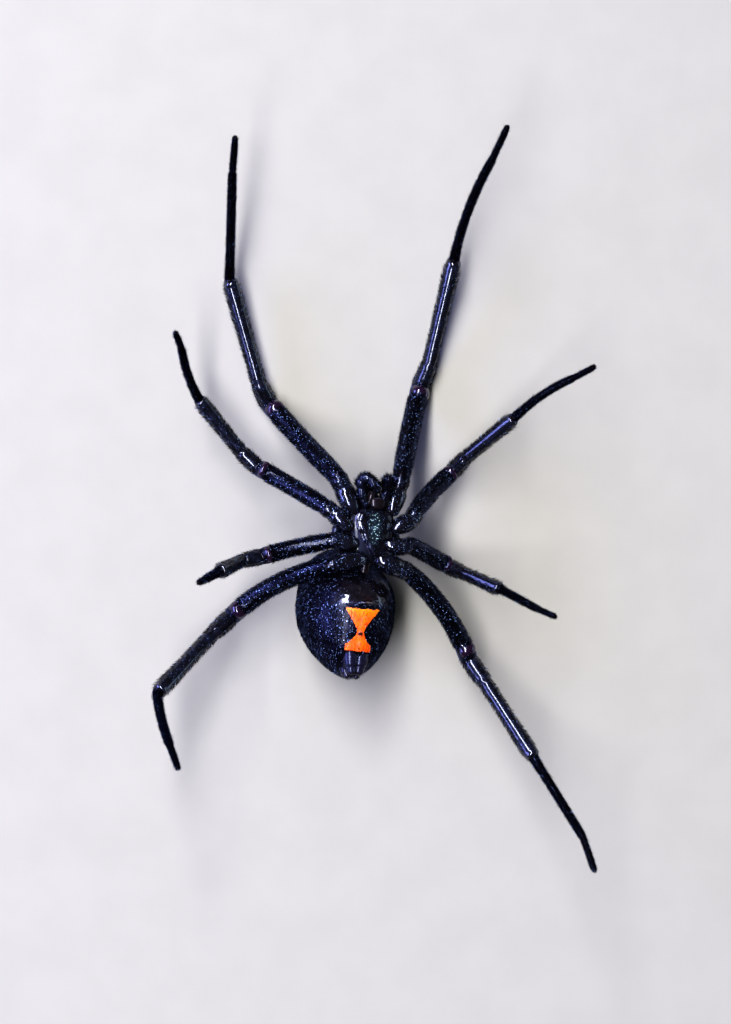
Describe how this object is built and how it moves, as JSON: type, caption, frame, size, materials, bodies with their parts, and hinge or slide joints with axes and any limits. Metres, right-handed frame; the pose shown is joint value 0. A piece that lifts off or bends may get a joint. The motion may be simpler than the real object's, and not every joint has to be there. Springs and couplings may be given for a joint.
{
  "type": "black widow spider",
  "caption": "Life-size still model of a glossy black widow spider lying on its back, legs spread as it hangs, with an orange hourglass mark on its belly.",
  "frame": {"origin": "middle of the bounding box at floor level", "axes": "+Y towards the head, +X towards the spider's left side, +Z out of the belly, away from the floor"},
  "size_m": [0.0238, 0.04, 0.0123],
  "materials": {
    "body_cuticle": "glossy jet black cuticle with short fine hairs",
    "leg_cuticle": "glossy black leg cuticle with short bristles",
    "mouthparts": "dark brown glossy cuticle",
    "eye_lens": "wet black lens"
  },
  "bodies": {
    "root": {"cephalothorax": "body_cuticle", "abdomen": "body_cuticle", "spinnerets": "body_cuticle", "pedicel": "mouthparts", "chelicera_left": "mouthparts", "chelicera_right": "mouthparts", "palp_left": "leg_cuticle", "palp_right": "leg_cuticle", "leg_left_1": "leg_cuticle", "leg_left_2": "leg_cuticle", "leg_left_3": "leg_cuticle", "leg_left_4": "leg_cuticle", "leg_right_1": "leg_cuticle", "leg_right_2": "leg_cuticle", "leg_right_3": "leg_cuticle", "leg_right_4": "leg_cuticle", "eye_front_median_left": "eye_lens", "eye_front_median_right": "eye_lens", "eye_front_lateral_left": "eye_lens", "eye_front_lateral_right": "eye_lens", "eye_back_median_left": "eye_lens", "eye_back_median_right": "eye_lens", "eye_back_lateral_left": "eye_lens", "eye_back_lateral_right": "eye_lens"}
  },
  "joints": []
}
